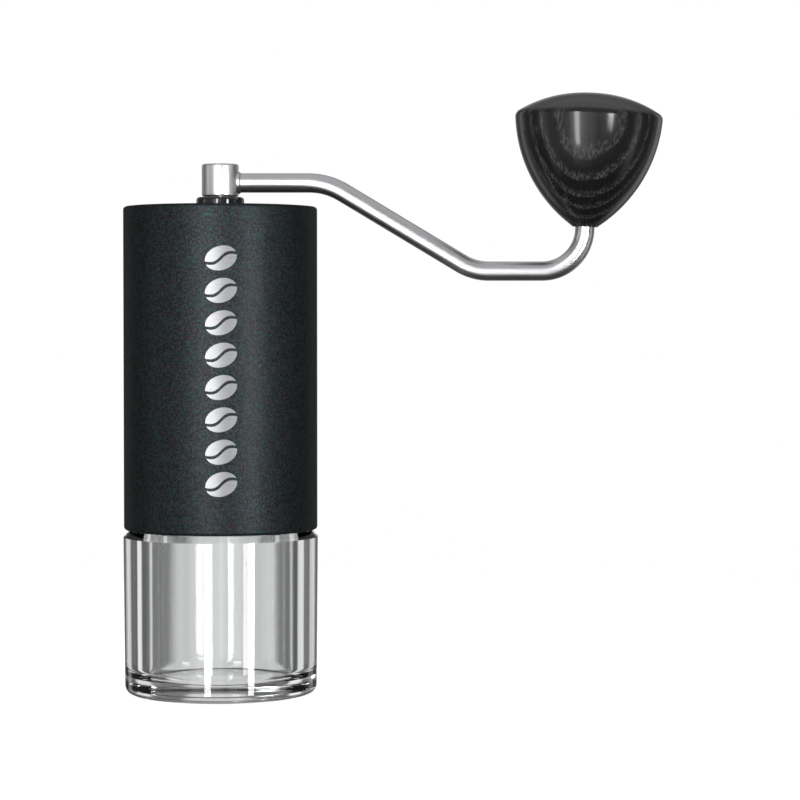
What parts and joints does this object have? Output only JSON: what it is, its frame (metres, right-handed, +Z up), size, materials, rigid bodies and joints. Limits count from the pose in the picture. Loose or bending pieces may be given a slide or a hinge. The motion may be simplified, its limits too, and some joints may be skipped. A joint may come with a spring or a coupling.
{
  "type": "hand crank coffee grinder",
  "caption": "Slim hand coffee grinder with a coated metal tube, a bent steel crank, a stained wooden knob, conical burrs and a clear screw-on grounds jar.",
  "frame": {"origin": "centre of the jar's flat bottom, which the grinder stands on", "axes": "+Z up along the axle, +X along the crank arm towards the knob, +Y to the back"},
  "size_m": [0.1672, 0.0604, 0.1859],
  "materials": {
    "coated_body": "near-black satin powder coat with fine teal flakes",
    "clear_jar": "clear, thick and polished",
    "brushed_steel": "satin stainless steel",
    "burr_steel": "ground tool steel",
    "spring_steel": "drawn spring steel",
    "frame_plastic": "moulded black plastic",
    "lid_plastic": "polished black plastic",
    "knob_wood": "black-stained oak, semi-gloss",
    "silicone": "grey silicone",
    "brass": "turned brass"
  },
  "bodies": {
    "housing": {"body_tube": "coated_body", "thread_ring": "frame_plastic", "lower_bridge": "frame_plastic", "hopper_liner": "frame_plastic", "upper_bridge": "frame_plastic", "ring_burr": "burr_steel", "burr_retaining_ring": "frame_plastic", "lower_bearing_outer_race": "brushed_steel", "lower_bearing_lower_seal": "silicone", "lower_bearing_upper_seal": "silicone", "upper_bearing_outer_race": "brushed_steel", "upper_bearing_lower_seal": "silicone", "upper_bearing_upper_seal": "silicone"},
    "drive": {"axle": "brushed_steel", "lower_bearing_inner_race": "brushed_steel", "upper_bearing_inner_race": "brushed_steel", "lower_circlip": "spring_steel", "upper_circlip": "spring_steel", "spring_washer": "brushed_steel", "burr_spring": "spring_steel"},
    "lower_cage": {"lower_bearing_ball_cage": "spring_steel"},
    "upper_cage": {"upper_bearing_ball_cage": "spring_steel"},
    "burr": {"inner_burr": "burr_steel", "click_plate": "brushed_steel"},
    "dial": {"adjusting_dial": "frame_plastic", "dial_nut": "brass", "detent_ball_1": "spring_steel", "detent_ball_2": "spring_steel", "detent_spring_1": "spring_steel", "detent_spring_2": "spring_steel"},
    "lid": {"lid": "lid_plastic", "lid_seal": "silicone"},
    "crank": {"crank_boss": "brushed_steel", "crank_arm": "brushed_steel", "knob_snap_ring": "spring_steel"},
    "knob": {"knob": "knob_wood", "knob_bushing": "brass"},
    "gasket": {"jar_gasket": "silicone"},
    "jar": {"jar": "clear_jar"}
  },
  "joints": [
    {"name": "crank_turn", "type": "hinge", "parent": "housing", "child": "drive", "pos_m": [0, 0, 0.1], "axis": [0, 0, -1], "continuous": true},
    {"name": "lower_cage_turn", "type": "hinge", "parent": "housing", "child": "lower_cage", "pos_m": [0, 0, 0.0963], "axis": [0, 0, -1], "continuous": true},
    {"name": "upper_cage_turn", "type": "hinge", "parent": "housing", "child": "upper_cage", "pos_m": [0, 0, 0.1185], "axis": [0, 0, -1], "continuous": true},
    {"name": "crank_lift", "type": "slide", "parent": "drive", "child": "crank", "axis": [0, 0, 1], "range_m": [0, 0.04]},
    {"name": "knob_spin", "type": "hinge", "parent": "crank", "child": "knob", "pos_m": [0.11302, 0, 0.14464], "axis": [0.0349, 0, 0.9994], "continuous": true},
    {"name": "lid_lift", "type": "slide", "parent": "housing", "child": "lid", "axis": [0, 0, 1], "range_m": [0, 0.02]},
    {"name": "burr_set", "type": "slide", "parent": "drive", "child": "burr", "axis": [0, 0, -1], "range_m": [0, 0.00151], "deforming": ["burr_spring"]},
    {"name": "dial_turn", "type": "hinge", "parent": "burr", "child": "dial", "pos_m": [0, 0, 0.0592], "axis": [0, 0, -1], "range_deg": [0, 540]},
    {"name": "jar_turn", "type": "hinge", "parent": "housing", "child": "gasket", "pos_m": [0, 0, 0.0617], "axis": [0, 0, -1], "range_deg": [0, 540]},
    {"name": "jar_drop", "type": "slide", "parent": "gasket", "child": "jar", "axis": [0, 0, -1], "range_m": [0, 0.0121]}
  ],
  "couplings": [
    {"joint": "lower_cage_turn", "follows": "crank_turn", "ratio": 0.34731},
    {"joint": "upper_cage_turn", "follows": "crank_turn", "ratio": 0.34731},
    {"joint": "lid_lift", "follows": "crank_lift", "ratio": 0.5},
    {"joint": "burr_set", "follows": "dial_turn", "m_per_rad": 0.00015915},
    {"joint": "jar_drop", "follows": "jar_turn", "m_per_rad": 0.0012732}
  ]
}
